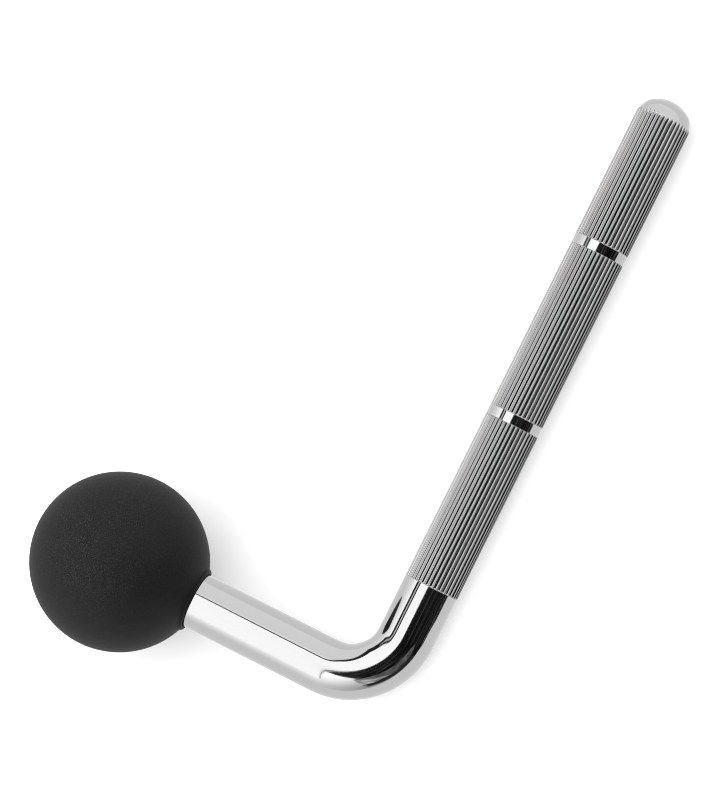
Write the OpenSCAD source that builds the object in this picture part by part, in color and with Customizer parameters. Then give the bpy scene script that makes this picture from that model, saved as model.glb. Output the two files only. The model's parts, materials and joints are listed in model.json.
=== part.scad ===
// Ball-ended massage handle: a cranked chrome-plated bar with a fluted grip and a rubber ball.
// The handle lies as it rests on a table, on the underside of its long arm and on its ball.
// Axes: +X along the long arm towards its domed end, +Z up. Millimetres.

/* [Bar] */
// Diameter of the bar, and of its bands
bar_d = 20; // [16:0.5:26]
// Radius of the bend, on the bar's centre line
bend_r = 22; // [20:0.5:34]
// Smooth length between the bend and the grip
neck_l = 19; // [6:0.5:60]

/* [Grip] */
// Lengths of the fluted stretches, from the neck to the dome
flute_l = [63, 63, 49]; // [20:1:120]
// Width of each smooth band between two fluted stretches
band_l = 3.5; // [1:0.5:12]
// Number of flutes around the grip
flute_n = 40; // [24:1:60]
// Depth of a flute below the plain bar
flute_depth = 0.45; // [0.2:0.05:0.8]
// Height that the crests between flutes lie under the plain bar
crest_drop = 0.05; // [0.02:0.01:0.15]
// Radius of a flute's round bottom
flute_r = 0.75; // [0.3:0.05:0.9]
// Height of the domed end
dome_h = 6.8; // [4:0.1:8]
// Step from the plain bar down to the foot of the dome
dome_step = 0.25; // [0:0.05:0.4]
// Length of the cone at the foot of the dome
dome_taper = 1.8; // [1:0.1:3]
// Lean of that cone from the bar's axis, in degrees
dome_lean = 20; // [10:1:30]
// Radius of the dome's shoulder
knuckle_r = 6; // [4:0.1:7]

/* [Ball] */
// Diameter of the ball
ball_d = 63.5; // [54:0.5:90]
// Distance from the corner of the two centre lines to the ball's centre
arm_l = 102.5; // [85:0.5:160]
// Distance from the ball's centre to the end face of the bar inside it
bar_end = 12.5; // [10:0.5:18]
// Radius of the bead that the rubber raises around the bar
lip_r = 0.9; // [0.4:0.1:1.5]

/* [Fastening inside the ball] */
// Thread diameter of the stud
stud_d = 12; // [8:1:12]
// Thread pitch of the stud
stud_pitch = 1.75; // [1:0.25:2]
// Length of the stud
stud_l = 40; // [32:1:44]
// Length of stud that is screwed into the bar
stud_in_bar = 20; // [14:1:22]
// Radial clearance between the stud and its tapped holes
thread_clearance = 0.05; // [0.02:0.01:0.1]
// Depth left free behind each end of the stud
hole_spare = 2; // [1:0.5:4]
// Diameter of the steel core that is moulded into the ball
core_d = 20; // [18:0.5:24]
// Diameter of the core's flange
flange_d = 30; // [26:0.5:36]
// Thickness of the core's flange
flange_t = 3; // [2:0.5:5]
// Length of solid core beyond its tapped hole
core_bottom = 3; // [2:0.5:5]
// Number of grooves that key the core into the rubber
key_n = 2; // [1:1:3]
// Width and depth of a keying groove
key_w = 2; // [1:0.5:3]
key_depth = 1; // [0.5:0.25:1.5]
// Thickness of the lock washer between the bar and the core
washer_t = 1.5; // [1:0.25:3]
// Outside diameter of the lock washer
washer_d = 18; // [15:0.5:20]
// Number of teeth around the lock washer
tooth_n = 12; // [6:1:18]

/* [Hidden] */
$fn = 96;

eps = 0.01;
bar_r = bar_d / 2;
ball_r = ball_d / 2;
flute_at = bar_r - flute_depth + flute_r;
grip_start = bend_r + neck_l;
grip_l = flute_l[0] + flute_l[1] + flute_l[2] + 2 * band_l;
grip_end = grip_start + grip_l;
bar_tip = grip_end + dome_h;

// Dome: a short cone, a shoulder arc that leaves it smoothly, and a crown arc that closes it.
// The arcs lie in a plane through the bar's axis, with each place given as [radius, height].
dome_r = bar_r - dome_step;
cone_end = [dome_r - dome_taper * tan(dome_lean), dome_taper];
cone_way = [cos(dome_lean), sin(dome_lean)];
knuckle = cone_end - knuckle_r * cone_way;
crown_gap = dome_h - knuckle_r;
crown_drop = (knuckle * knuckle - crown_gap * crown_gap) / (2 * (crown_gap - knuckle[1]));
crown_r = dome_h + crown_drop;
crown_way = (knuckle + [0, crown_drop]) / (crown_r - knuckle_r);

// Stations inside the ball, measured from its centre along the short arm towards the bend
core_face = bar_end - washer_t;
stud_inner = bar_end + stud_in_bar - stud_l;
core_hole = stud_inner - hole_spare;
core_foot = core_hole - core_bottom;
stud_outer = bar_end + stud_in_bar;
bar_hole = stud_outer + hole_spare;
hole_r = stud_d / 2 + thread_clearance;
mouth = sqrt(ball_r * ball_r - bar_r * bar_r);

// The bar and the ball both touch the table, so the plane of the handle leans by this angle
lean = asin((ball_r - bar_r) / arm_l);
x_low = -ball_r;
x_high = bar_tip;
y_low = -bar_r;
y_high = arm_l * cos(lean) + ball_r;

// Carries a shape from the handle's own plane to the table, with the origin under the middle
module on_table()
    translate([-(x_low + x_high) / 2, -(y_low + y_high) / 2, bar_r])
        rotate([lean, 0, 0])
            children();

// Turns a shape about Z into one about the short arm, with its origin at the ball's centre
// and its +Z pointing from the ball to the bend
module along_arm()
    translate([0, arm_l, 0]) rotate([90, 0, 0]) children();

// Turns a shape about Z into one about the long arm, standing at distance x from the corner
module along_grip(x)
    translate([x, 0, 0]) rotate([0, 90, 0]) children();

module ring(outer, inner, height)
    difference() {
        cylinder(r = outer, h = height);
        translate([0, 0, -eps]) cylinder(r = inner, h = height + 2 * eps);
    }

// The round bottoms of all the flutes, as they cut into the bar's section
module flute_cuts()
    for (i = [0 : flute_n - 1])
        rotate(i * 360 / flute_n)
            translate([flute_at, 0]) circle(r = flute_r, $fn = 24);

module flute_profile()
    difference() {
        circle(r = bar_r - crest_drop);
        flute_cuts();
    }

module dome_profile() {
    cone_foot = knuckle - knuckle[1] / cone_way[1] * cone_way;
    crown_foot = knuckle - knuckle[1] / crown_way[1] * crown_way;
    cone_edge = knuckle + 2 * knuckle_r * cone_way;
    crown_edge = knuckle + 2 * knuckle_r * crown_way;
    polygon([cone_foot, [dome_r, 0], cone_end]);
    intersection() {
        translate(knuckle) circle(r = knuckle_r);
        polygon([crown_foot, cone_foot, cone_edge, crown_edge]);
    }
    intersection() {
        translate([0, -crown_drop]) circle(r = crown_r);
        polygon([[0, 0], crown_foot, crown_edge, [0, crown_edge[1] + dome_h]]);
    }
}

module grip() {
    for (i = [0 : 2]) {
        start = grip_start + (i == 0 ? 0 : flute_l[0] + band_l)
            + (i == 2 ? flute_l[1] + band_l : 0);
        along_grip(start) linear_extrude(height = flute_l[i]) flute_profile();
        if (i < 2)
            along_grip(start + flute_l[i]) cylinder(r = bar_r, h = band_l);
    }
    along_grip(grip_end)
        difference() {
            rotate_extrude() dome_profile();
            translate([0, 0, -1]) linear_extrude(height = dome_h + 2) flute_cuts();
        }
}

module bend()
    translate([bend_r, bend_r, 0])
        rotate([0, 0, 180])
            rotate_extrude(angle = 90) translate([bend_r, 0]) circle(r = bar_r);

module short_arm()
    along_arm()
        difference() {
            translate([0, 0, bar_end]) cylinder(r = bar_r, h = arm_l - bend_r - bar_end);
            translate([0, 0, bar_end - eps]) cylinder(r = hole_r, h = bar_hole - bar_end + eps);
        }

module handle_bar()
    color("silver")
        on_table()
            union() {
                short_arm();
                bend();
                along_grip(bend_r) cylinder(r = bar_r, h = neck_l);
                grip();
            }

// Outside of the steel core: a barrel with keying grooves, and a flange at its foot
module core_shape() {
    barrel_l = core_face - core_foot - flange_t;
    difference() {
        translate([0, 0, core_foot]) cylinder(r = core_d / 2, h = core_face - core_foot);
        for (i = [1 : key_n])
            translate([0, 0, core_foot + flange_t + barrel_l * i / (key_n + 1) - key_w / 2])
                ring(core_d, core_d / 2 - key_depth, key_w);
    }
    translate([0, 0, core_foot]) cylinder(r = flange_d / 2, h = flange_t);
}

module ball()
    color("dimgray")
        on_table()
            along_arm()
                difference() {
                    union() {
                        sphere(r = ball_r);
                        rotate_extrude() translate([bar_r + lip_r, mouth - lip_r / 2]) circle(r = lip_r);
                    }
                    translate([0, 0, core_face]) cylinder(r = bar_r, h = ball_r);
                    core_shape();
                }

module ball_core()
    color("gray")
        on_table()
            along_arm()
                difference() {
                    core_shape();
                    translate([0, 0, core_hole]) cylinder(r = hole_r, h = core_face - core_hole + eps);
                }

// The threads are plain rings with the thread's depth and pitch
module joining_stud()
    color("darkgray")
        on_table()
            along_arm()
                translate([0, 0, stud_inner])
                    rotate_extrude() {
                        thread_depth = 0.61 * stud_pitch;
                        turns = floor(stud_l / stud_pitch);
                        end_l = (stud_l - turns * stud_pitch) / 2;
                        root_r = stud_d / 2 - thread_depth;
                        crests = [for (i = [0 : turns - 1], side = [0 : 1])
                            [side == 0 ? root_r : stud_d / 2,
                             end_l + (i + side / 2) * stud_pitch]];
                        polygon(concat([[0, 0], [root_r, 0]], crests,
                            [[root_r, stud_l - end_l], [root_r, stud_l], [0, stud_l]]));
                    }

module lock_washer()
    color("gainsboro")
        on_table()
            along_arm()
                translate([0, 0, core_face])
                    difference() {
                        ring(washer_d / 2, hole_r, washer_t);
                        for (i = [0 : tooth_n - 1])
                            rotate(i * 360 / tooth_n)
                                translate([washer_d / 2, 0, -eps])
                                    cylinder(r = washer_d / tooth_n / 2, h = washer_t + 2 * eps);
                    }

handle_bar();
ball();
ball_core();
joining_stud();
lock_washer();
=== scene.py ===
"""Ball-ended massage tool: a cranked, fluted chrome bar with a moulded rubber ball.

Laid out as an add-on with one operator for each piece and one for the stage. Run as a script, it
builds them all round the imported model. Lengths are metres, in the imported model's own frame.
"""
import json
import math

import bpy
import numpy as np
from mathutils import Matrix, Vector


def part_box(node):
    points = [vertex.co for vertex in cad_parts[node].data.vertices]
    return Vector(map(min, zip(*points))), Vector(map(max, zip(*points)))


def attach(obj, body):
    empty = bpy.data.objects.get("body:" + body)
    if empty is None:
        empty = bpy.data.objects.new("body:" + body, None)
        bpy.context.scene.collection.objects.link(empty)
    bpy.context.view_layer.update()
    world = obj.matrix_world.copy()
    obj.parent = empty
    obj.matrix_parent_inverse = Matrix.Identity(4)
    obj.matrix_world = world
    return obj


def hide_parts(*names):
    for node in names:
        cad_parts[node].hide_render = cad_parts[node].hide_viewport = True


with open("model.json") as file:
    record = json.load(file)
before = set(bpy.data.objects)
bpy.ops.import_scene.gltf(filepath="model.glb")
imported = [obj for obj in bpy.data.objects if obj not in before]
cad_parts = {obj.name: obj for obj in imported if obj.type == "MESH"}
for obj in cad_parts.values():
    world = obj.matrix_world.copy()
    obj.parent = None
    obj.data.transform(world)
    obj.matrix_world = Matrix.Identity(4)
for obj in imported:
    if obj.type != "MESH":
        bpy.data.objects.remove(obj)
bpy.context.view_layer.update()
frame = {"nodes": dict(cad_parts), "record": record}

bl_info = {
    "name": "Ball-Ended Massage Tool",
    "version": (1, 0, 0),
    "blender": (4, 5, 0),
    "location": "3D View > Sidebar > Massage Tool",
    "description": "Builds a fluted chrome bar with a rubber ball, and the stage it is shown on",
    "category": "Object",
}

BODY = "root"
MM = 0.001

# Distance from an edge to the ring of points that keeps the edge crisp
SUPPORT = 0.00003
# Rounding of the bar's end face
END_ROUNDING = 0.0006
# Distance from the bar's end face to the first plain ring of its short arm
FIRST_RING = 0.01
# Depth below the ball's mouth at which its bead has met the bar
BEAD_DEPTH = 0.0012
# Half the side of the square floor
FLOOR_HALF = 6.0
# Height of the overhead cards, which are drawn as they would hang at one metre
CARD_HEIGHT = 2.5

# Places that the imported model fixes
BALL_LOW, BALL_HIGH = (np.array(corner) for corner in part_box("ball"))
SHAFT = next(m for m in frame["record"]["mounts"] if m["name"] == "grip_shaft")
BAR_RADIUS = SHAFT["dims"]["r_mm"] * MM
BALL_RADIUS = (BALL_HIGH[2] - BALL_LOW[2]) / 2
BALL_CENTRE = (BALL_LOW + BALL_HIGH) / 2
BALL_CENTRE[1] = BALL_HIGH[1] - BALL_RADIUS
CORNER = np.array([BALL_CENTRE[0], SHAFT["pos_m"][1], SHAFT["pos_m"][2]])
ARM_LENGTH = float(np.linalg.norm(BALL_CENTRE - CORNER))
GRIP_WAY = np.array([1.0, 0.0, 0.0])
ARM_WAY = (BALL_CENTRE - CORNER) / ARM_LENGTH
UPRIGHT = np.cross(GRIP_WAY, ARM_WAY)


# ---------------------------------------------------------------- sizes and colours

class BarSizes(bpy.types.PropertyGroup):
    """Sizes of the cranked bar."""

    bend_radius: bpy.props.FloatProperty(
        name="Bend radius", description="Radius of the bend on the bar's centre line",
        default=0.022, unit="LENGTH")
    bend_dent: bpy.props.FloatProperty(
        name="Dent in the bend", description="Depth that the former pressed into the bend's inside",
        default=0.0005, unit="LENGTH")
    bend_lip: bpy.props.FloatProperty(
        name="Lip of the dent", description="Height of the lip raised where the dent starts",
        default=0.00006, unit="LENGTH")
    neck_length: bpy.props.FloatProperty(
        name="Neck", description="Smooth length between the bend and the grip",
        default=0.019, unit="LENGTH")
    flute_lengths: bpy.props.FloatVectorProperty(
        name="Fluted stretches", description="Lengths of the fluted stretches from the neck to the dome",
        default=(0.063, 0.063, 0.049), unit="LENGTH")
    band_width: bpy.props.FloatProperty(
        name="Band", description="Width of each plain band between two fluted stretches",
        default=0.0035, unit="LENGTH")
    flute_count: bpy.props.IntProperty(
        name="Flutes", description="Number of flutes around the grip", default=40)
    flute_depth: bpy.props.FloatProperty(
        name="Flute depth", description="Depth of a flute below the bands",
        default=0.00045, unit="LENGTH")
    flute_radius: bpy.props.FloatProperty(
        name="Flute radius", description="Radius of a flute's round bottom",
        default=0.00075, unit="LENGTH")
    crest_drop: bpy.props.FloatProperty(
        name="Crest drop", description="Height that the crests between flutes lie under the bands",
        default=0.00005, unit="LENGTH")
    flute_turn: bpy.props.FloatProperty(
        name="Flute turn", description="Turn of the whole ring of flutes about the grip",
        default=math.radians(0.72), subtype="ANGLE")
    run_out: bpy.props.FloatProperty(
        name="Run-out", description="Length over which a flute rises to a band",
        default=0.0005, unit="LENGTH")
    dome_step: bpy.props.FloatProperty(
        name="Dome step", description="Step from the bands down to the foot of the dome",
        default=0.00025, unit="LENGTH")
    dome_taper: bpy.props.FloatProperty(
        name="Dome taper", description="Length of the cone at the foot of the dome",
        default=0.0018, unit="LENGTH")
    dome_lean: bpy.props.FloatProperty(
        name="Dome lean", description="Lean of that cone from the bar's axis",
        default=math.radians(20), subtype="ANGLE")
    dome_shoulder: bpy.props.FloatProperty(
        name="Dome shoulder", description="Radius of the arc between the cone and the crown",
        default=0.006, unit="LENGTH")
    dome_height: bpy.props.FloatProperty(
        name="Dome", description="Height of the domed tip", default=0.0068, unit="LENGTH")
    end_depth: bpy.props.FloatProperty(
        name="End in the ball", description="Distance from the ball's centre to the bar's end face",
        default=0.0125, unit="LENGTH")
    hole_radius: bpy.props.FloatProperty(
        name="Hole radius", description="Radius of the tapped hole in the bar's end",
        default=0.00605, unit="LENGTH")
    hole_depth: bpy.props.FloatProperty(
        name="Hole depth", description="Depth of the tapped hole in the bar's end",
        default=0.022, unit="LENGTH")


class BallSizes(bpy.types.PropertyGroup):
    """Sizes of the rubber ball and of the cavity that holds its core."""

    bead_radius: bpy.props.FloatProperty(
        name="Bead", description="Radius of the bead that the rubber raises around the bar",
        default=0.0009, unit="LENGTH")
    core_top: bpy.props.FloatProperty(
        name="Core face", description="Distance from the ball's centre to the core's face",
        default=0.011, unit="LENGTH")
    core_foot: bpy.props.FloatProperty(
        name="Core foot", description="Distance from the ball's centre to the foot of the core",
        default=-0.0125, unit="LENGTH")
    flange_radius: bpy.props.FloatProperty(
        name="Flange radius", description="Radius of the core's flange", default=0.015, unit="LENGTH")
    flange_thickness: bpy.props.FloatProperty(
        name="Flange thickness", description="Thickness of the core's flange",
        default=0.003, unit="LENGTH")


class Finishes(bpy.types.PropertyGroup):
    """Colours and surface finishes."""

    chrome: bpy.props.FloatVectorProperty(
        name="Chrome", description="Colour of the chrome plate", subtype="COLOR",
        default=(0.553, 0.553, 0.553))
    # Painted shade: the plate's colour at the bottom of a flute, darker than the chrome.
    groove_shade: bpy.props.FloatVectorProperty(
        name="Grooves", description="Colour of the plate and its film at the bottom of a flute",
        subtype="COLOR", default=(0.44, 0.44, 0.44))
    chrome_roughness: bpy.props.FloatProperty(
        name="Chrome roughness", description="Roughness of the cleanest plate", default=0.05)
    rubber: bpy.props.FloatVectorProperty(
        name="Rubber", description="Colour of the rubber", subtype="COLOR",
        default=(0.0035, 0.0035, 0.0036))
    # Colour of the dust, and of a faint painted lightening away from the bar; near the bar it is left
    # out as painted shade.
    dust_and_shade: bpy.props.FloatVectorProperty(
        name="Bloom", description="Colour of the dusty high points of the rubber's grain",
        subtype="COLOR", default=(0.040, 0.040, 0.040))
    rubber_roughness: bpy.props.FloatProperty(
        name="Rubber roughness", description="Mean roughness of the rubber", default=0.62)
    zinc: bpy.props.FloatVectorProperty(
        name="Zinc plate", description="Colour of the core", subtype="COLOR",
        default=(0.58, 0.58, 0.60))
    stud: bpy.props.FloatVectorProperty(
        name="Stud steel", description="Colour of the stud", subtype="COLOR",
        default=(0.30, 0.30, 0.31))
    spring: bpy.props.FloatVectorProperty(
        name="Spring steel", description="Colour of the lock washer", subtype="COLOR",
        default=(0.42, 0.41, 0.40))


class StageSettings(bpy.types.PropertyGroup):
    """Floor, light and camera."""

    floor: bpy.props.FloatVectorProperty(
        name="Floor", description="Colour of the floor", subtype="COLOR", default=(0.86, 0.86, 0.86))
    floor_glow: bpy.props.FloatProperty(
        name="Floor glow", description="Light that the floor gives off by itself", default=0.26)
    floor_sheen: bpy.props.FloatProperty(
        name="Floor in the plate", description="Brightness of the floor as the plate mirrors it",
        default=0.95)
    tent_light: bpy.props.FloatProperty(
        name="Tent light", description="Strength of the light tent at its foot", default=1.04)
    softbox_light: bpy.props.FloatProperty(
        name="Softbox light", description="Strength of the overhead softbox", default=1.68)
    azimuth: bpy.props.FloatProperty(
        name="Azimuth", description="Direction of the camera around the tool",
        default=math.radians(-92.336), subtype="ANGLE")
    elevation: bpy.props.FloatProperty(
        name="Elevation", description="Height angle of the camera",
        default=math.radians(69.578), subtype="ANGLE")
    roll: bpy.props.FloatProperty(
        name="Roll", description="Turn of the camera about its line of sight",
        default=math.radians(-61.334), subtype="ANGLE")
    distance: bpy.props.FloatProperty(
        name="Distance", description="Distance from the camera to the point it aims at",
        default=1.531, unit="LENGTH")
    aim: bpy.props.FloatVectorProperty(
        name="Aim", description="Point that the camera aims at",
        default=(-0.00991, -0.00741, 0.010), unit="LENGTH", size=3)
    lens: bpy.props.FloatProperty(
        name="Lens", description="Focal length in millimetres", default=195.5)


# ---------------------------------------------------------------- shader graphs

class Signal:
    """An output socket. Arithmetic between signals, or with a plain number, adds a Math node."""

    def __init__(self, graph, socket):
        self.graph = graph
        self.socket = socket

    def _math(self, operation, first, second):
        return self.graph.node("ShaderNodeMath", {"operation": operation}, {0: first, 1: second})

    def __add__(self, other):
        return self._math("ADD", self, other)

    __radd__ = __add__

    def __sub__(self, other):
        return self._math("SUBTRACT", self, other)

    def __rsub__(self, other):
        return self._math("SUBTRACT", other, self)

    def __mul__(self, other):
        return self._math("MULTIPLY", self, other)

    __rmul__ = __mul__

    def __pow__(self, other):
        return self._math("POWER", self, other)

    def at_most(self, other):
        return self._math("MINIMUM", self, other)

    def at_least(self, other):
        return self._math("MAXIMUM", self, other)

    def clipped(self):
        """Held between 0 and 1."""
        return self.at_least(0.0).at_most(1.0)


class Graph:
    """A node tree that is filled through one method."""

    def __init__(self, tree):
        self.tree = tree
        tree.nodes.clear()

    def node(self, kind, settings=None, inputs=None, output=0):
        """Adds a node: its settings first, then the values or links of its sockets."""
        made = self.tree.nodes.new(kind)
        for name, value in (settings or {}).items():
            setattr(made, name, value)
        for name, value in (inputs or {}).items():
            if isinstance(value, Signal):
                self.tree.links.new(value.socket, made.inputs[name])
            else:
                made.inputs[name].default_value = value
        return Signal(self, made.outputs[output]) if made.outputs else made


def rgba(colour):
    return (*colour[:3], 1.0)


def new_material(name):
    material = bpy.data.materials.new(name)
    material.use_nodes = True
    return material, Graph(material.node_tree)


def surface(graph, shader):
    graph.node("ShaderNodeOutputMaterial", inputs={"Surface": shader})


def place(graph, stretch=(1.0, 1.0, 1.0)):
    """Position in the object's own metres, squeezed along each axis by stretch."""
    where = graph.node("ShaderNodeTexCoord", output=3)
    return graph.node("ShaderNodeMapping", inputs={"Vector": where, "Scale": stretch})


def split(graph, where):
    """The X, Y and Z of a vector, as three signals."""
    parts = graph.node("ShaderNodeSeparateXYZ", inputs={"Vector": where}).socket.node.outputs
    return [Signal(graph, part) for part in parts]


def noise(graph, where, scale, detail=2.0, roughness=0.5):
    return graph.node("ShaderNodeTexNoise", inputs={
        "Vector": where, "Scale": scale, "Detail": detail, "Roughness": roughness})


def chrome_material(look, sizes):
    """Bright plate: a faint waviness in the polish, and a film that dulls it a little in patches.

    The bottoms of the flutes are painted darker, as painted shade in the grooves.
    """
    material, graph = new_material("chrome_plate")
    where = place(graph)
    film = noise(graph, where, 55.0, 3.0)
    wipe = noise(graph, place(graph, (0.25, 1.0, 1.0)), 900.0, 2.0)
    waviness = noise(graph, where, 90.0, 1.0) * 8.0 + bend_ripples(graph, sizes)
    dulling = (film * 1.6 - 0.6).at_least(0.0)
    roughness = dulling * 0.06 + wipe * 0.02 + look.chrome_roughness
    normal = graph.node("ShaderNodeBump", inputs={
        "Strength": 1.0, "Distance": 0.000001, "Height": waviness})
    # Painted shade: the plate's colour darkens towards the bottoms of the flutes.
    colour = graph.node("ShaderNodeMix", {"data_type": "RGBA"}, {
        "Factor": painted_groove_shade(graph, sizes), 6: rgba(look.chrome), 7: rgba(look.groove_shade)}, output=2)
    surface(graph, graph.node("ShaderNodeBsdfPrincipled", inputs={
        "Base Color": colour, "Metallic": 1.0,
        "Roughness": roughness, "Normal": normal}))
    return material


def painted_groove_shade(graph, sizes):
    """Painted shade in the flutes: none at the height of the crests, and full at the bottoms.

    It is the depth under the crests, measured from the grip's axis, over the flutes' whole depth.
    """
    apart = graph.node("ShaderNodeVectorMath", {"operation": "DISTANCE"}, {
        0: place(graph, (0.0, 1.0, 1.0)), 1: (0.0, float(CORNER[1]), float(CORNER[2]))}, output=1)
    x, _, _ = split(graph, place(graph))
    start = float(CORNER[0]) + sizes.bend_radius + sizes.neck_length
    stop = start + sum(sizes.flute_lengths) + 2 * sizes.band_width
    fade = 0.0002
    after = ((x - start) * (1 / fade)).clipped()
    before = ((stop - x) * (1 / fade)).clipped()
    crest = BAR_RADIUS - sizes.crest_drop
    depth = (crest - apart) * (1 / (sizes.flute_depth - sizes.crest_drop))
    return depth.clipped() * after * before


def bend_ripples(graph, sizes):
    """Ripples that bending left: they run round the bar and follow each other along the bend.

    They are noise along the angle round the bend's middle, and fade out at both ends of the bend.
    """
    middle = CORNER + sizes.bend_radius * (GRIP_WAY + ARM_WAY)
    across, along, _ = split(graph, place(graph, (1.0, 1.0, 0.0)))
    x = across - float(middle[0])
    y = (along - float(middle[1])) * float(1 / ARM_WAY[1])
    turn = graph.node("ShaderNodeMath", {"operation": "ARCTAN2"}, {0: y, 1: x})
    way = graph.node("ShaderNodeCombineXYZ", inputs={"X": turn * sizes.bend_radius})
    ripples = noise(graph, way, 650.0, 2.0, 0.6)
    return ripples * (x * -60.0).clipped() * (y * -60.0).clipped() * 4.0


def rubber_material(look):
    """Matt moulded rubber: a fine grain, and paler dust on its high points.

    Near the bar the dust and a faint overall lightening are left out, so the rubber is darker there:
    painted shade.
    """
    material, graph = new_material("black_rubber")
    where = place(graph)
    mouth = BALL_CENTRE - ARM_WAY * BALL_RADIUS
    apart = graph.node("ShaderNodeVectorMath", {"operation": "DISTANCE"}, {
        0: where, 1: tuple(float(value) for value in mouth)}, output=1)
    # Painted shade near the bar: 0 within 18 mm of the mouth, rising to 1 further out.
    out_of_bar_shade = ((apart - 0.018) * 32.0).clipped()
    grain = noise(graph, where, 3000.0, 2.0, 0.6)
    patches = noise(graph, where, 38.0, 3.0)
    dust = ((grain - 0.54) * 7.0).clipped() * (patches * 2.0 - 0.3)
    # Dust on the grain and a faint lightening, both held back near the bar as painted shade.
    dust_and_shade = (dust.at_least(0.0) * out_of_bar_shade + out_of_bar_shade * 0.05).at_most(1.0)
    colour = graph.node("ShaderNodeMix", {"data_type": "RGBA"}, {
        "Factor": dust_and_shade, 6: rgba(look.rubber), 7: rgba(look.dust_and_shade)}, output=2)
    roughness = patches * 0.12 + (look.rubber_roughness - 0.06)
    normal = graph.node("ShaderNodeBump", inputs={
        "Strength": 0.8, "Distance": 0.00008, "Height": grain})
    surface(graph, graph.node("ShaderNodeBsdfPrincipled", inputs={
        "Base Color": colour, "Roughness": roughness, "Specular IOR Level": 0.25,
        "Normal": normal}))
    return material


def turned_steel(name, colour, roughness):
    """Machined steel: fine tool marks, and a patchy plate."""
    material, graph = new_material(name)
    marks = noise(graph, place(graph), 4000.0, 2.0)
    patches = noise(graph, place(graph), 160.0, 3.0)
    tone = patches * 0.35 + 0.8
    shaded = graph.node("ShaderNodeVectorMath", {"operation": "SCALE"}, {
        0: tuple(colour), "Scale": tone})
    normal = graph.node("ShaderNodeBump", inputs={
        "Strength": 0.4, "Distance": 0.00003, "Height": marks})
    surface(graph, graph.node("ShaderNodeBsdfPrincipled", inputs={
        "Base Color": shaded, "Metallic": 1.0, "Roughness": marks * 0.15 + roughness,
        "Normal": normal}))
    return material


# ---------------------------------------------------------------- surfaces from grids

def grid_faces(rows, columns):
    """Quads of a grid that closes on itself across its columns."""
    row, column = np.meshgrid(np.arange(rows - 1), np.arange(columns), indexing="ij")
    beside = (column + 1) % columns
    quads = np.stack([row * columns + column, row * columns + beside,
                      (row + 1) * columns + beside, (row + 1) * columns + column], axis=-1)
    return quads.reshape(-1, 4)


def pole_faces(ring_start, columns, pole, flip):
    """Triangles from one ring of the grid to a single pole vertex."""
    around = np.arange(columns)
    beside = (around + 1) % columns
    fan = np.stack([ring_start + around, ring_start + beside, np.full(columns, pole)], axis=-1)
    return fan[:, ::-1] if flip else fan


def closed_tube(name, rings, first_pole, last_pole, material):
    """A closed surface from rings of points, shape (rows, columns, 3), and a point at each end."""
    rows, columns = rings.shape[:2]
    points = np.concatenate([rings.reshape(-1, 3), [first_pole, last_pole]])
    quads = grid_faces(rows, columns)
    last = rows * columns
    fans = np.concatenate([pole_faces(0, columns, last, True),
                           pole_faces((rows - 1) * columns, columns, last + 1, False)])
    if signed_volume(points, quads, fans) < 0:
        quads, fans = quads[:, ::-1], fans[:, ::-1]
    mesh = bpy.data.meshes.new(name)
    mesh.vertices.add(len(points))
    mesh.vertices.foreach_set("co", points.astype(np.float32).ravel())
    corners = np.concatenate([quads.ravel(), fans.ravel()])
    mesh.loops.add(len(corners))
    mesh.loops.foreach_set("vertex_index", corners.astype(np.int32))
    sizes = np.concatenate([np.full(len(quads), 4), np.full(len(fans), 3)])
    starts = np.concatenate([[0], np.cumsum(sizes)[:-1]])
    mesh.polygons.add(len(sizes))
    mesh.polygons.foreach_set("loop_start", starts.astype(np.int32))
    mesh.update(calc_edges=True)
    mesh.validate()
    mesh.shade_smooth()
    mesh.materials.append(material)
    return new_object(name, mesh)


def signed_volume(points, quads, fans):
    """Volume inside the faces, positive when they face outwards."""
    triangles = np.concatenate([quads[:, [0, 1, 2]], quads[:, [0, 2, 3]], fans])
    a, b, c = (points[triangles[:, k]] for k in range(3))
    return float(np.einsum("ij,ij->i", a, np.cross(b, c)).sum()) / 6


def new_object(name, mesh):
    made = bpy.data.objects.new(name, mesh)
    bpy.context.scene.collection.objects.link(made)
    return made


def arc(start, stop, count):
    """Angles from start to stop, both included."""
    return np.linspace(start, stop, count)


# ---------------------------------------------------------------- the bar

def straight_length(sizes):
    """Length of the short arm from the bar's end face to the bend."""
    return ARM_LENGTH - sizes.end_depth - sizes.bend_radius


def bend_length(sizes):
    """Length of the bend on its centre line, a quarter circle."""
    return sizes.bend_radius * math.pi / 2


def bar_path(along, sizes):
    """Centre, inward direction, tangent and angle turned at a distance from the bar's end face.

    The path runs straight down the short arm, round a quarter circle, and straight along the grip.
    """
    straight, bend = straight_length(sizes), bend_length(sizes)
    angle = np.clip((along - straight) / bend, 0.0, 1.0) * (math.pi / 2)
    before = np.minimum(along, straight)
    after = np.maximum(along - straight - bend, 0.0)
    way_in = np.cos(angle)[:, None] * GRIP_WAY + np.sin(angle)[:, None] * ARM_WAY
    tangent = np.sin(angle)[:, None] * GRIP_WAY - np.cos(angle)[:, None] * ARM_WAY
    middle = CORNER + sizes.bend_radius * (GRIP_WAY + ARM_WAY)
    on_arc = middle - sizes.bend_radius * way_in
    centre = on_arc + after[:, None] * GRIP_WAY
    centre += (straight - before)[:, None] * ARM_WAY
    return centre, way_in, tangent, angle


def flute_columns(sizes):
    """Angles round the bar, and how far each lies from the middle of its own flute.

    Every flute has the same columns: one on the crest, and the rest closest together at its edges.
    """
    pitch = 2 * math.pi / sizes.flute_count
    crest = BAR_RADIUS - sizes.crest_drop
    away = BAR_RADIUS - sizes.flute_depth + sizes.flute_radius
    cosine = (crest ** 2 + away ** 2 - sizes.flute_radius ** 2) / (2 * crest * away)
    half = math.acos(cosine)
    own = np.concatenate([[-pitch / 2], -half * np.cos(arc(0, math.pi, 13))])
    middle = (np.arange(sizes.flute_count)[:, None] + 0.5) * pitch + sizes.flute_turn
    return (middle + own[None, :]).ravel(), np.tile(own, sizes.flute_count)


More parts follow.
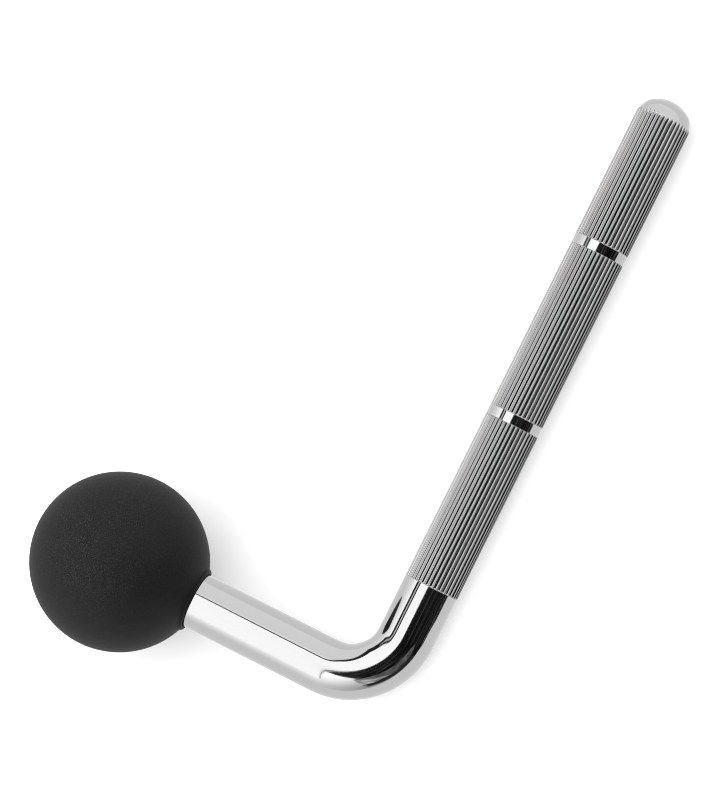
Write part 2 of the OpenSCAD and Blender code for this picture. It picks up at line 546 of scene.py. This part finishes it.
def flute_drop(own, sizes):
    """Depth below the bands at an angle from a flute's middle.

    The flute's bottom is a circle whose centre lies outside the bar, and the crest cuts it off.
    """
    away = BAR_RADIUS - sizes.flute_depth + sizes.flute_radius
    under = np.maximum(sizes.flute_radius ** 2 - (away * np.sin(own)) ** 2, 0)
    bottom = away * np.cos(own) - np.sqrt(under)
    crest = BAR_RADIUS - sizes.crest_drop
    return BAR_RADIUS - np.where(under > 0, np.minimum(bottom, crest), crest)


def fluted_stations(start, length, sizes):
    """Distances along one fluted stretch, and how far the cutter has sunk at each, from 0 to 1.

    At each end the cutter leaves a quarter ellipse, run_out long.
    """
    turn = arc(0, math.pi / 2, 6)
    lead = np.concatenate([[-SUPPORT, 0.0], sizes.run_out * (1 - np.cos(turn)) + SUPPORT])
    sunk = np.concatenate([[0.0, 0.0], np.sin(turn)])
    inner = start + np.array([0.02, 0.5, 0.98]) * length
    places = np.concatenate([start + lead, inner, start + length - lead[::-1]])
    return places, np.concatenate([sunk, [1.0, 1.0, 1.0], sunk[::-1]])


def dome_stations(start, sizes):
    """Distances and radii over the dome: a short cone, a shoulder arc and a crown arc.

    Each arc leaves the piece before it smoothly, and the crown closes square to the axis.
    """
    foot = BAR_RADIUS - sizes.dome_step
    lean, shoulder, taper = sizes.dome_lean, sizes.dome_shoulder, sizes.dome_taper
    along_k = taper - shoulder * math.sin(lean)
    out_k = foot - taper * math.tan(lean) - shoulder * math.cos(lean)
    gap = sizes.dome_height - shoulder
    drop = (along_k ** 2 + out_k ** 2 - gap ** 2) / (2 * (gap - along_k))
    crown = sizes.dome_height + drop
    meet = math.atan2(along_k + drop, out_k)
    low = arc(lean, meet, 12)
    high = arc(meet, math.pi / 2, 14)[1:-1]
    cone = np.linspace(0, taper, 7)[:-1]
    along = np.concatenate([cone, along_k + shoulder * np.sin(low), crown * np.sin(high) - drop])
    radius = np.concatenate([foot - cone * math.tan(lean), out_k + shoulder * np.cos(low),
                             crown * np.cos(high)])
    return start + along, radius


def stem_stations(sizes):
    """Distances and radii from the bottom of the tapped hole, over the bend, to the neck."""
    straight, bend = straight_length(sizes), bend_length(sizes)
    edge, deep, hole = END_ROUNDING, sizes.hole_depth, sizes.hole_radius
    along = [deep, deep, deep - SUPPORT, SUPPORT, 0, 0, 0, edge * 0.3, edge, edge + SUPPORT]
    radius = [hole * 0.5, hole - SUPPORT, hole, hole, hole + SUPPORT, BAR_RADIUS - edge - SUPPORT,
              BAR_RADIUS - edge, BAR_RADIUS - edge * 0.3, BAR_RADIUS, BAR_RADIUS]
    smooth = np.concatenate([np.linspace(FIRST_RING, straight, 6),
                             straight + np.linspace(0, bend, 61)[1:],
                             [straight + bend + sizes.neck_length / 2]])
    return (np.concatenate([along, smooth]),
            np.concatenate([radius, np.full(len(smooth), BAR_RADIUS)]))


def grip_stations(start, sizes):
    """Distances over the grip, how far the cutter has sunk at each, and where the dome starts.

    The last stretch runs out over the dome at its full depth, so its own run-out is left off.
    """
    at = start
    along, sunk = [], []
    for length in sizes.flute_lengths:
        places, depths = fluted_stations(at, length, sizes)
        along.append(places)
        sunk.append(depths)
        at += length + sizes.band_width
    along, sunk = np.concatenate(along), np.concatenate(sunk)
    foot = at - sizes.band_width
    keep = along < foot - sizes.run_out - 3 * SUPPORT
    return np.append(along[keep], foot - SUPPORT), np.append(sunk[keep], 1.0), foot


def bar_rings(sizes):
    """Every ring of the bar, from the bottom of its tapped hole to the top of its dome.

    Each ring is the path's centre plus the radius times the ring's own two directions. The
    radius is the plain one less the flute's drop, or the dome's where that is smaller. The dent
    in the bend fades round the bar with the sixth power of the cosine from its inner line.
    """
    stem_along, stem_radius = stem_stations(sizes)
    start = straight_length(sizes) + bend_length(sizes) + sizes.neck_length
    grip_along, grip_sunk, foot = grip_stations(start, sizes)
    tip_along, tip_radius = dome_stations(foot, sizes)
    along = np.concatenate([stem_along, grip_along, tip_along])
    radius = np.concatenate([stem_radius, np.full(len(grip_along), BAR_RADIUS), tip_radius])
    sunk = np.concatenate([np.zeros(len(stem_along)), grip_sunk, np.ones(len(tip_along))])
    angles, own = flute_columns(sizes)
    drop = flute_drop(own, sizes)[None, :]
    fluted = BAR_RADIUS - np.minimum(drop, sunk[:, None] * sizes.flute_depth)
    out = np.minimum(fluted, radius[:, None])
    centre, way_in, tangent, turned = bar_path(along, sizes)
    inner_side = np.maximum(np.cos(angles), 0)[None, :] ** 6
    inward = np.cos(angles)[None, :] * out - bend_dent(turned, sizes)[:, None] * inner_side
    sideways = np.sin(angles)[None, :] * out
    rings = (centre[:, None] + inward[..., None] * way_in[:, None]
             + sideways[..., None] * UPRIGHT)
    tip = centre[-1] + tangent[-1] * (foot + sizes.dome_height - along[-1])
    return rings, centre[0], tip


def bend_dent(turned, sizes):
    """Depth pressed into the inside of the bend, at an angle turned from the short arm.

    A flat-bottomed dent with eased ends, and a small lip raised where it starts.
    """
    start, stop, ease, lip = (math.radians(value) for value in (4, 90, 28, 3.5))
    rise = np.clip((turned - start) / ease, 0, 1)
    fall = np.clip((stop - turned) / ease, 0, 1)
    dent = (rise ** 2 * (3 - 2 * rise)) * (fall ** 2 * (3 - 2 * fall))
    raised = np.exp(-((turned - start) / lip) ** 2)
    return sizes.bend_dent * dent - sizes.bend_lip * raised


class MASSAGE_OT_handle_bar(bpy.types.Operator):
    """Builds the cranked bar with its fluted grip"""

    bl_idname = "massage_tool.handle_bar"
    bl_label = "Cranked bar"

    def execute(self, context):
        settings = context.scene
        rings, hole_end, tip = bar_rings(settings.massage_bar)
        bar = closed_tube("cranked_bar", rings, hole_end, tip,
                          chrome_material(settings.massage_finishes, settings.massage_bar))
        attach(bar, BODY)
        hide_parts("handle_bar")
        return {"FINISHED"}


# ---------------------------------------------------------------- the ball

def ball_profile(sizes):
    """Distance along the short arm's axis, from the ball's centre towards the bend, and radius.

    The outline runs from the far pole over the sphere to the bead, down the socket that grips the
    bar, and round the cavity that the core fills. The bead's arc starts a little outside the
    sphere's, and ends where it meets the bar.
    """
    mouth = math.sqrt(BALL_RADIUS ** 2 - BAR_RADIUS ** 2)
    bead_along, bead_out = mouth - sizes.bead_radius / 2, BAR_RADIUS + sizes.bead_radius
    lean = math.atan2(bead_out, bead_along)
    spread = 0.9 * sizes.bead_radius / BALL_RADIUS
    latitude = arc(math.pi, lean + spread, 130)[1:]
    turn = arc(lean + math.radians(75), lean - math.radians(150), 22)
    along = np.concatenate([BALL_RADIUS * np.cos(latitude),
                            bead_along + sizes.bead_radius * np.cos(turn)])
    radius = np.concatenate([BALL_RADIUS * np.sin(latitude),
                             bead_out + sizes.bead_radius * np.sin(turn)])
    outside = (radius > BAR_RADIUS) | (along < 0)
    step = sizes.core_foot + sizes.flange_thickness
    socket = np.array([[mouth - BEAD_DEPTH, BAR_RADIUS], [sizes.core_top, BAR_RADIUS],
                       [step, BAR_RADIUS], [step, sizes.flange_radius],
                       [sizes.core_foot, sizes.flange_radius],
                       [sizes.core_foot, sizes.flange_radius * 0.5]])
    return np.append(along[outside], socket[:, 0]), np.append(radius[outside], socket[:, 1])


def ball_rings(sizes, columns=256):
    """The outline turned about the short arm's axis: centre plus radius times a unit circle."""
    along, radius = ball_profile(sizes)
    angles = np.arange(columns) * 2 * math.pi / columns
    axis = -ARM_WAY
    circle = np.cos(angles)[:, None] * GRIP_WAY + np.sin(angles)[:, None] * UPRIGHT
    centre = BALL_CENTRE + along[:, None] * axis
    rings = centre[:, None] + radius[:, None, None] * circle[None]
    return rings, BALL_CENTRE - BALL_RADIUS * axis, BALL_CENTRE + sizes.core_foot * axis


class MASSAGE_OT_ball(bpy.types.Operator):
    """Builds the rubber ball with its socket and core cavity"""

    bl_idname = "massage_tool.ball"
    bl_label = "Rubber ball"

    def execute(self, context):
        settings = context.scene
        rings, pole, foot = ball_rings(settings.massage_ball)
        ball = closed_tube("rubber_ball", rings, pole, foot,
                           rubber_material(settings.massage_finishes))
        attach(ball, BODY)
        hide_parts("ball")
        return {"FINISHED"}


# ---------------------------------------------------------------- the fastening

class MASSAGE_OT_fastening(bpy.types.Operator):
    """Finishes the core, the stud and the lock washer inside the ball"""

    bl_idname = "massage_tool.fastening"
    bl_label = "Core, stud and washer"

    def execute(self, context):
        look = context.scene.massage_finishes
        finishes = {
            "ball_core": turned_steel("zinc_steel", look.zinc, 0.3),
            "joining_stud": turned_steel("stud_steel", look.stud, 0.42),
            "lock_washer": turned_steel("spring_steel", look.spring, 0.36),
        }
        for node, material in finishes.items():
            mesh = frame["nodes"][node].data
            if not mesh.materials:
                mesh.materials.append(material)
            for index in range(len(mesh.materials)):
                mesh.materials[index] = material
        return {"FINISHED"}


# ---------------------------------------------------------------- the stage

def emitter(name, strength):
    material, graph = new_material(name)
    surface(graph, graph.node("ShaderNodeEmission", inputs={"Strength": strength}))
    return material


def card(name, mesh, material):
    """Makes a mesh a card of the stage that only shows in glossy surfaces."""
    mesh.materials.append(material)
    made = new_object(name, mesh)
    made.visible_camera = False
    made.visible_diffuse = False
    made.visible_shadow = False
    return made


def level_card(name, outline, height, material, scale=CARD_HEIGHT):
    """A level card: its outline is measured from the bar's corner, and then scaled."""
    points = [(CORNER[0] + x * scale, CORNER[1] + y * scale, height) for x, y in outline]
    mesh = bpy.data.meshes.new(name)
    mesh.from_pydata(points, [], [tuple(range(len(points)))])
    return card(name, mesh, material)


def dome_card(name, rows, distance, material, columns=12):
    """A curved card on a dome round the bar's corner.

    Each row gives how far it leans from the zenith, in degrees along Y, and its two ends along X.
    A point leans by the length of its (X, Y) pair, in the direction of that pair.
    """
    rows = np.array(rows, dtype=float)
    share = np.linspace(0, 1, columns)[None, :]
    x = rows[:, 1:2] * (1 - share) + rows[:, 2:3] * share
    y = np.repeat(rows[:, 0:1], columns, axis=1)
    lean = np.radians(np.hypot(x, y))
    way = np.arctan2(y, x)
    points = CORNER + distance * CARD_HEIGHT * np.stack(
        [np.sin(lean) * np.cos(way), np.sin(lean) * np.sin(way), np.cos(lean)], axis=-1)
    row, column = np.meshgrid(np.arange(len(rows) - 1), np.arange(columns - 1), indexing="ij")
    first = row * columns + column
    quads = np.stack([first, first + 1, first + columns + 1, first + columns], axis=-1)
    mesh = bpy.data.meshes.new(name)
    mesh.from_pydata(points.reshape(-1, 3).tolist(), [], quads.reshape(-1, 4).tolist())
    return card(name, mesh, material)


def make_floor(settings):
    """A pale floor, and at its level the even sheet that glossy surfaces see in its place."""
    material, graph = new_material("floor_white")
    surface(graph, graph.node("ShaderNodeBsdfPrincipled", inputs={
        "Base Color": rgba(settings.floor), "Roughness": 1.0, "Specular IOR Level": 0.0,
        "Emission Color": (1.0, 1.0, 1.0, 1.0), "Emission Strength": settings.floor_glow}))
    square = [(-FLOOR_HALF, -FLOOR_HALF), (FLOOR_HALF, -FLOOR_HALF),
              (FLOOR_HALF, FLOOR_HALF), (-FLOOR_HALF, FLOOR_HALF)]
    mesh = bpy.data.meshes.new("floor")
    mesh.from_pydata([(x, y, 0) for x, y in square], [], [(0, 1, 2, 3)])
    mesh.materials.append(material)
    floor = new_object("floor", mesh)
    floor.visible_glossy = False
    level_card("floor_sheen", square, 0.0, emitter("floor_sheen", settings.floor_sheen), 1.0)


def make_tent(settings):
    """World light: a white tent, brighter overhead and towards its open front.

    The overhead light fades towards +X, and the light in front is only on the -X half.
    """
    world = bpy.data.worlds.new("light_tent")
    bpy.context.scene.world = world
    world.use_nodes = True
    graph = Graph(world.node_tree)
    way = graph.node("ShaderNodeTexCoord", output=0)
    side, front, height = split(graph, way)
    foot = side * 0.08 + settings.tent_light
    lit_side = 1.0 - (side * 2.2 - 0.3).clipped()
    crown = (height.at_least(0.0) ** 2.0) * (1.28 - side.at_most(0.0) * 0.8) * lit_side
    open_front = front.at_most(0.0) * (side * -2.5 + 1.3).clipped()
    light = (foot + crown) * (open_front * 0.85 + 1.0)
    background = graph.node("ShaderNodeBackground", inputs={"Color": light, "Strength": 1.0})
    graph.node("ShaderNodeOutputWorld", inputs={"Surface": background})


def folded_cloth(name, dark, light):
    """Black cloth in upright folds, a little lighter on some of them."""
    material, graph = new_material(name)
    folds = noise(graph, place(graph, (0.3, 1.0, 1.0)), 4.8, 3.0, 0.6)
    shade = ((folds - 0.52) * 7.0).clipped() * (light - dark) + dark
    surface(graph, graph.node("ShaderNodeEmission", inputs={"Color": shade}))
    return material


def veil_cloth(name, distance):
    """Thin grey cloth: lighter away from the black flag, darker towards the floor, with folds."""
    material, graph = new_material(name)
    across, _, up = split(graph, place(graph))
    x = (across - float(CORNER[0])) * (1 / distance / CARD_HEIGHT)
    height = (up - float(CORNER[2])) * (1 / distance / CARD_HEIGHT)
    folds = noise(graph, place(graph, (1.0, 0.3, 0.3)), 4.4, 2.0, 0.6)
    ramp = (x * -2.4 - 1.03).at_least(0.14).at_most(0.8)
    lit = ((height - 0.10) * 3.2).at_least(0.25).at_most(1.0)
    streaks = ((folds - 0.5) * 4.0 + 1.0).at_least(0.35)
    surface(graph, graph.node("ShaderNodeEmission", inputs={"Color": ramp * lit * streaks}))
    return material


def make_cards(settings):
    """What the plate mirrors: an overhead softbox in a dark rim, and flags in the open front.

    The rim has a lit gap. The front holds a black flag, a grey veil beside it, three steps of
    fading shade beyond the veil, and a dark strip on the floor.
    """
    lit = emitter("softbox_cloth", settings.softbox_light)
    rim = emitter("softbox_rim", 0.02)
    gap = emitter("rim_gap", 0.70)
    black = folded_cloth("flag_black", 0.004, 0.085)
    dim = emitter("flag_dim", 0.03)
    level_card("softbox", [
        (-1.5, -0.105), (0.40, -0.105), (0.45, 0.0), (0.53, 0.08), (0.59, 0.16), (0.61, 0.33),
        (0.632, 0.50), (0.643, 0.70), (0.655, 0.936), (0.55, 0.93), (0.34, 0.89), (0.28, 0.84),
        (0.22, 0.75), (0.17, 0.65), (0.12, 0.54), (0.08, 0.50), (-1.5, 0.46)], CARD_HEIGHT, lit)
    level_card("softbox_rim", [
        (-1.5, -0.12), (0.47, -0.12), (0.54, 0.0), (0.63, 0.08), (0.73, 0.16), (0.80, 0.33),
        (0.84, 0.53), (0.917, 0.762), (1.03, 1.058), (1.13, 1.43), (1.30, 1.95), (0.744, 1.80),
        (0.29, 1.60), (0.20, 1.38), (0.14, 1.13), (0.09, 0.98), (0.0, 0.98), (-1.5, 0.92)],
        CARD_HEIGHT + 0.01, rim)
    level_card("rim_gap", [
        (-1.5, 0.60), (0.0, 0.62), (0.08, 0.63), (0.13, 0.73), (0.18, 0.86), (0.23, 0.97),
        (0.30, 1.05), (0.45, 1.12), (0.45, 1.20), (0.30, 1.18), (0.23, 1.11), (0.18, 1.00),
        (0.13, 0.86), (0.08, 0.74), (0.0, 0.74), (-1.5, 0.70)], CARD_HEIGHT, gap)
    dome_card("flag_black", [
        (-7, -19, 13), (-12, -24, 13), (-16, -27, 13), (-20, -30, 13), (-24, -33, 13),
        (-30, -31, 13), (-38, -28, 13), (-44, -25, 13), (-50, -18, 13), (-56, -8, 13),
        (-62, -4, 13), (-70, -10, 13), (-80, -18, 13), (-95, -14, 13)], 1.30, black)
    dome_card("flag_veil", [
        (-23, -36, 0), (-30, -46, 0), (-36, -53, 0), (-42, -56, 0), (-46, -54, 0), (-50, -52, 0),
        (-54, -46, 0), (-60, -42, 0), (-66, -40, 0), (-70, -36, 0)], 1.40,
        veil_cloth("flag_veil", 1.40))
    for step, (spread, share) in enumerate(((0, 0.03), (3, 0.22), (6, 0.45))):
        dome_card(f"flag_dim_{step}", [
            (-43 + spread / 2, -56 - spread, -50), (-46, -62 - spread, -40),
            (-50, -65 - spread, -30), (-56, -61 - spread, 0), (-64, -56 - spread, 0),
            (-72, -49 - spread, 0), (-80, -37 - spread, 0), (-88, -21 - spread, 0),
            (-96, -10 - spread, 0)], 1.50 + step * 0.02, emitter(f"flag_dim_{step}", share))
    level_card("flag_foot", [(0.03, -0.080), (0.27, -0.080), (0.40, -1.7), (-0.2, -1.7)],
               0.001, dim, 1.0)


def make_camera(settings):
    """A camera on a sphere round its aim: azimuth and elevation place it, roll turns the frame."""
    level = math.cos(settings.elevation)
    out = Vector((level * math.cos(settings.azimuth), level * math.sin(settings.azimuth),
                  math.sin(settings.elevation)))
    flat = (-out).cross(Vector((0, 0, 1))).normalized()
    rise = flat.cross(-out)
    right = math.cos(settings.roll) * flat + math.sin(settings.roll) * rise
    up = out.cross(right)
    data = bpy.data.cameras.new("camera")
    data.lens = settings.lens
    data.sensor_width = 36.0
    data.clip_end = 50.0
    camera = bpy.data.objects.new("camera", data)
    bpy.context.scene.collection.objects.link(camera)
    turn = Matrix((right, up, out)).transposed().to_4x4()
    camera.matrix_world = Matrix.Translation(Vector(settings.aim) + out * settings.distance) @ turn
    bpy.context.scene.camera = camera


class MASSAGE_OT_stage(bpy.types.Operator):
    """Sets up the floor, the light tent, its cards and the camera"""

    bl_idname = "massage_tool.stage"
    bl_label = "Stage"

    def execute(self, context):
        settings = context.scene.massage_stage
        context.scene.view_settings.view_transform = "Standard"
        context.scene.cycles.filter_width = 1.0
        make_floor(settings)
        make_tent(settings)
        make_cards(settings)
        make_camera(settings)
        return {"FINISHED"}


# ---------------------------------------------------------------- add-on

class MASSAGE_PT_sidebar(bpy.types.Panel):
    """Lists the pieces and the stage"""

    bl_idname = "MASSAGE_PT_sidebar"
    bl_label = "Massage Tool"
    bl_space_type = "VIEW_3D"
    bl_region_type = "UI"
    bl_category = "Massage Tool"

    def draw(self, context):
        for operator in OPERATORS:
            self.layout.operator(operator.bl_idname)
        for name, group in GROUPS.items():
            box = self.layout.box()
            for size in group.__annotations__:
                box.prop(getattr(context.scene, name), size)


OPERATORS = (MASSAGE_OT_handle_bar, MASSAGE_OT_ball, MASSAGE_OT_fastening, MASSAGE_OT_stage)
GROUPS = {
    "massage_bar": BarSizes,
    "massage_ball": BallSizes,
    "massage_finishes": Finishes,
    "massage_stage": StageSettings,
}


def register():
    for group in GROUPS.values():
        bpy.utils.register_class(group)
    for name, group in GROUPS.items():
        setattr(bpy.types.Scene, name, bpy.props.PointerProperty(type=group))
    for operator in OPERATORS:
        bpy.utils.register_class(operator)
    bpy.utils.register_class(MASSAGE_PT_sidebar)


def unregister():
    bpy.utils.unregister_class(MASSAGE_PT_sidebar)
    for operator in reversed(OPERATORS):
        bpy.utils.unregister_class(operator)
    for name in GROUPS:
        delattr(bpy.types.Scene, name)
    for group in reversed(list(GROUPS.values())):
        bpy.utils.unregister_class(group)


def main():
    register()
    bpy.ops.massage_tool.stage()
    bpy.ops.massage_tool.handle_bar()
    bpy.ops.massage_tool.ball()
    bpy.ops.massage_tool.fastening()


if __name__ == "__main__":
    main()
